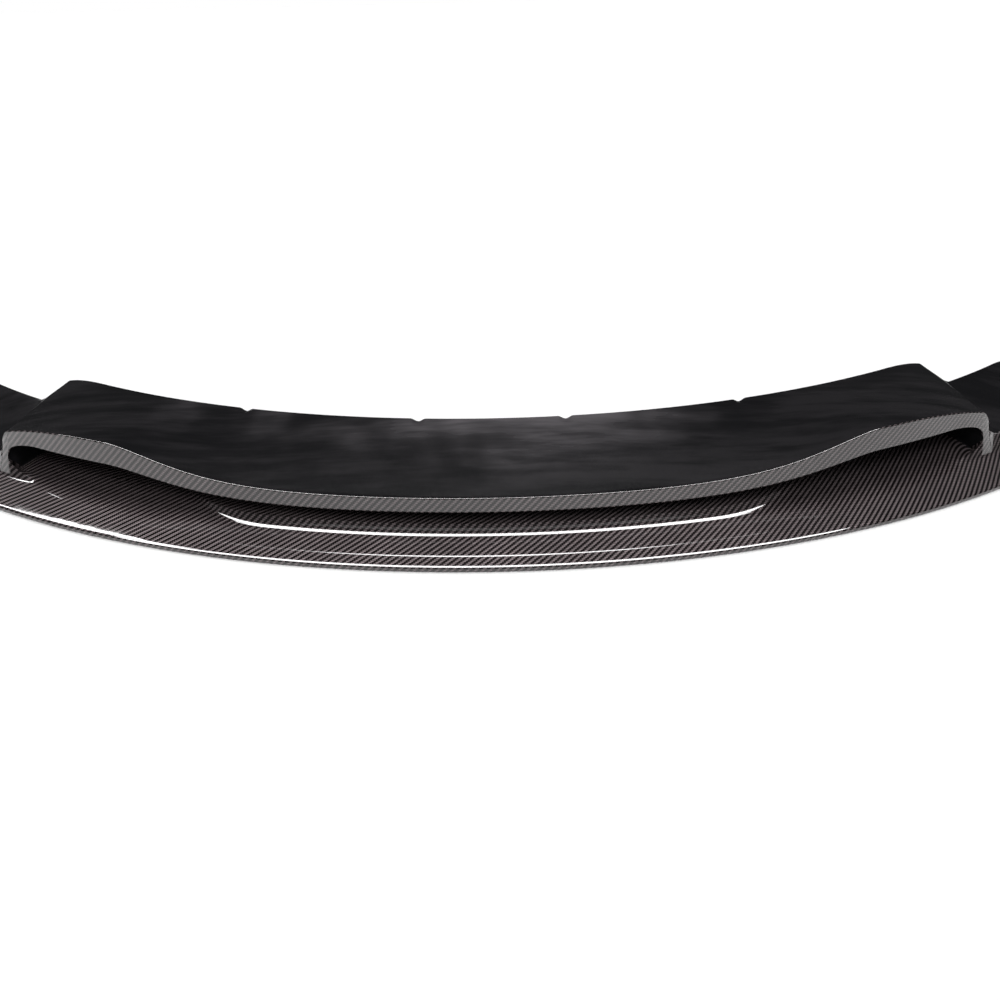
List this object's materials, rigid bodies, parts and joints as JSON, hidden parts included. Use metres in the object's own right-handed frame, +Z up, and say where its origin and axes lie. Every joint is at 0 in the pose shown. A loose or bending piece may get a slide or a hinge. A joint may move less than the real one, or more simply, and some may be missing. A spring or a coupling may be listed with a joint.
{
  "type": "front splitter lip",
  "caption": "Bowed carbon front splitter lip with a raised middle step, an air duct under a flanged hood, and low outer wings; it seats under a car's front bumper.",
  "frame": {"origin": "centre of the bounding box at the height of the flat underside of the front edge, on which it rests", "axes": "+X to the right as seen from the front, +Y back from the front edge toward the car, +Z up"},
  "size_m": [1.7496, 0.4222, 0.1],
  "materials": {
    "carbon_laminate": "clear-coated twill carbon, satin black on the bumper seat"
  },
  "bodies": {
    "root": {"splitter_lip": "carbon_laminate"}
  },
  "joints": []
}
